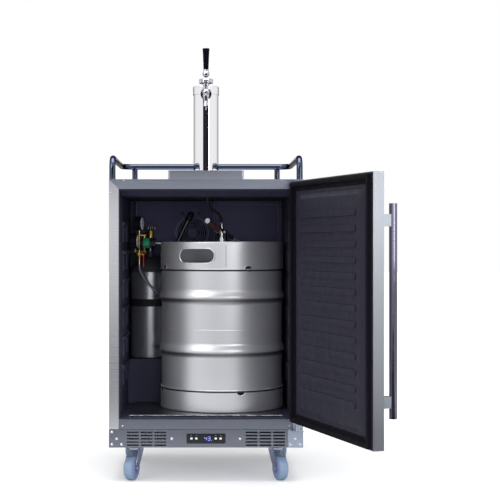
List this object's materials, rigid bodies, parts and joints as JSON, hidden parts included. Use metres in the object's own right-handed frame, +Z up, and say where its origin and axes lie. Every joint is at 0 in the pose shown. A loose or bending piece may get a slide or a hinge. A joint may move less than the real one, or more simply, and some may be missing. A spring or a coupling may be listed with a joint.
{
  "type": "draft beer cooler",
  "caption": "Under-counter draft beer cooler: insulated cabinet on casters, hinged door, keg, gas cylinder and regulator, guard rail, drip tray and tap tower",
  "frame": {"origin": "on the floor under the middle of the cabinet's footprint", "axes": "+X to the right seen from the front, +Y into the cabinet, +Z up; the door opens towards -Y and its hinge is on the right"},
  "size_m": [0.812, 1.1277, 1.3575],
  "materials": {
    "stainless": "brushed",
    "liner": "satin dark grey",
    "foam": "foamed",
    "fin_metal": "mill",
    "galvanised": "galvanised",
    "black_plastic": "moulded",
    "panel_black": "glossy",
    "black_steel": "semi-gloss",
    "polished": "polished",
    "rail_steel": "polished",
    "zinc": "zinc plated",
    "gas_hose": "smooth",
    "black_rubber": "smooth",
    "cylinder": "bare and painted",
    "brass": "turned",
    "handwheel": "moulded",
    "red_metal": "painted",
    "button_white": "smooth",
    "keg_steel": "rolled",
    "gasket": "matt",
    "grip_black": "glossy",
    "tyre_grey": "smooth"
  },
  "bodies": {
    "cabinet": {"outer_case": "stainless", "front_frame": "stainless", "inner_liner": "liner", "insulation_foam": "foam", "keg_platform": "stainless", "evaporator_cover": "liner", "evaporator_coil": "fin_metal", "fan_motors": "black_plastic", "base_frame": "galvanised", "toe_grille": "stainless", "control_panel": "panel_black", "compressor": "black_steel", "condenser_coil": "fin_metal", "case_screws": "zinc", "hinge_brackets": "zinc", "guard_rail": "rail_steel", "tower_column": "polished", "tower_cap": "polished", "tap_shank": "polished", "faucet_body": "polished", "faucet_bonnet": "polished", "beer_line": "black_rubber", "gas_line": "gas_hose", "air_hose": "black_rubber", "cylinder_strap": "black_plastic", "caster_plates": "zinc", "gas_cylinder": "cylinder", "cylinder_valve": "brass", "regulator": "brass", "shutoff_valve": "brass"},
    "door": {"door_skin": "stainless", "door_liner": "liner", "door_foam": "foam", "door_gasket": "gasket", "door_handle": "stainless"},
    "tap_lever": {"tap_lever": "polished", "tap_handle": "grip_black"},
    "faucet_shaft": {"faucet_shaft": "polished"},
    "evaporator_fan": {"evaporator_fan": "black_plastic"},
    "condenser_fan": {"condenser_fan": "black_plastic"},
    "button_power": {"button_power": "button_white"},
    "button_light": {"button_light": "button_white"},
    "button_down": {"button_down": "button_white"},
    "button_up": {"button_up": "button_white"},
    "drip_tray": {"drip_tray": "stainless"},
    "drip_grid": {"drip_grid": "stainless"},
    "valve_handwheel": {"valve_handwheel": "handwheel"},
    "regulator_adjuster": {"regulator_adjuster": "zinc"},
    "shutoff_lever": {"shutoff_lever": "red_metal"},
    "keg": {"keg_shell": "keg_steel", "coupler_body": "polished"},
    "coupler_lever": {"coupler_lever": "polished"},
    "fork_fl": {"caster_fork_fl": "zinc"},
    "wheel_fl": {"caster_wheel_fl": "tyre_grey"},
    "fork_fr": {"caster_fork_fr": "zinc"},
    "wheel_fr": {"caster_wheel_fr": "tyre_grey"},
    "fork_rl": {"caster_fork_rl": "zinc"},
    "wheel_rl": {"caster_wheel_rl": "tyre_grey"},
    "fork_rr": {"caster_fork_rr": "zinc"},
    "wheel_rr": {"caster_wheel_rr": "tyre_grey"}
  },
  "joints": [
    {"name": "door_hinge", "type": "hinge", "parent": "cabinet", "child": "door", "pos_m": [0.281, -0.2995, 0.5585], "axis": [0, 0, 1], "range_deg": [-107.4, 16]},
    {"name": "tap_pull", "type": "hinge", "parent": "cabinet", "child": "tap_lever", "pos_m": [0, -0.1585, 1.24], "axis": [1, 0, 0], "range_deg": [0, 25]},
    {"name": "shaft_slide", "type": "slide", "parent": "cabinet", "child": "faucet_shaft", "axis": [0, 1, 0], "range_m": [0, 0.0098]},
    {"name": "evaporator_fan_spin", "type": "hinge", "parent": "cabinet", "child": "evaporator_fan", "pos_m": [-0.048, 0.2095, 0.776], "axis": [0, 1, 0], "continuous": true},
    {"name": "condenser_fan_spin", "type": "hinge", "parent": "cabinet", "child": "condenser_fan", "pos_m": [-0.178, -0.1795, 0.134], "axis": [0, 1, 0], "continuous": true},
    {"name": "press_power", "type": "slide", "parent": "cabinet", "child": "button_power", "axis": [0, 1, 0], "range_m": [0, 0.0008], "stiffness_N_per_m": 600},
    {"name": "press_light", "type": "slide", "parent": "cabinet", "child": "button_light", "axis": [0, 1, 0], "range_m": [0, 0.0008], "stiffness_N_per_m": 600},
    {"name": "press_down", "type": "slide", "parent": "cabinet", "child": "button_down", "axis": [0, 1, 0], "range_m": [0, 0.0008], "stiffness_N_per_m": 600},
    {"name": "press_up", "type": "slide", "parent": "cabinet", "child": "button_up", "axis": [0, 1, 0], "range_m": [0, 0.0008], "stiffness_N_per_m": 600},
    {"name": "tray_lift", "type": "slide", "parent": "cabinet", "child": "drip_tray", "axis": [0, 0, 1], "range_m": [0, 0.08]},
    {"name": "grid_lift", "type": "slide", "parent": "drip_tray", "child": "drip_grid", "axis": [0, 0, 1], "range_m": [0, 0.06]},
    {"name": "handwheel_turn", "type": "hinge", "parent": "cabinet", "child": "valve_handwheel", "pos_m": [-0.19, 0.1595, 0.792], "axis": [0, 0, 1], "range_deg": [0, 540]},
    {"name": "adjuster_turn", "type": "hinge", "parent": "cabinet", "child": "regulator_adjuster", "pos_m": [-0.16, 0.0935, 0.741], "axis": [1, 0, 0], "range_deg": [0, 720]},
    {"name": "shutoff_turn", "type": "hinge", "parent": "cabinet", "child": "shutoff_lever", "pos_m": [-0.21, 0.0755, 0.703], "axis": [-1, 0, 0], "range_deg": [0, 90]},
    {"name": "keg_slide", "type": "slide", "parent": "cabinet", "child": "keg", "axis": [0, -1, 0], "range_m": [0, 0.2], "deforming": ["gas_line", "beer_line"]},
    {"name": "coupler_pull", "type": "hinge", "parent": "keg", "child": "coupler_lever", "pos_m": [0.052, -0.0195, 0.7738], "axis": [0.848, -0.5299, 0], "range_deg": [0, 43]},
    {"name": "swivel_fl", "type": "hinge", "parent": "cabinet", "child": "fork_fl", "pos_m": [-0.221, -0.1975, 0.098], "axis": [0, 0, 1], "continuous": true},
    {"name": "roll_fl", "type": "hinge", "parent": "fork_fl", "child": "wheel_fl", "pos_m": [-0.23207, -0.22965, 0.0375], "axis": [0.9455, -0.3256, 0], "continuous": true},
    {"name": "swivel_fr", "type": "hinge", "parent": "cabinet", "child": "fork_fr", "pos_m": [0.221, -0.1975, 0.098], "axis": [0, 0, 1], "continuous": true},
    {"name": "roll_fr", "type": "hinge", "parent": "fork_fr", "child": "wheel_fr", "pos_m": [0.23207, -0.22965, 0.0375], "axis": [0.9455, 0.3256, 0], "continuous": true},
    {"name": "swivel_rl", "type": "hinge", "parent": "cabinet", "child": "fork_rl", "pos_m": [-0.24, 0.2075, 0.098], "axis": [0, 0, 1], "continuous": true},
    {"name": "roll_rl", "type": "hinge", "parent": "fork_rl", "child": "wheel_rl", "pos_m": [-0.25107, 0.17535, 0.0375], "axis": [0.9455, -0.3256, 0], "continuous": true},
    {"name": "swivel_rr", "type": "hinge", "parent": "cabinet", "child": "fork_rr", "pos_m": [0.24, 0.2075, 0.098], "axis": [0, 0, 1], "continuous": true},
    {"name": "roll_rr", "type": "hinge", "parent": "fork_rr", "child": "wheel_rr", "pos_m": [0.25107, 0.17535, 0.0375], "axis": [0.9455, 0.3256, 0], "continuous": true}
  ],
  "couplings": [
    {"joint": "shaft_slide", "follows": "tap_pull", "m_per_rad": 0.0223}
  ]
}
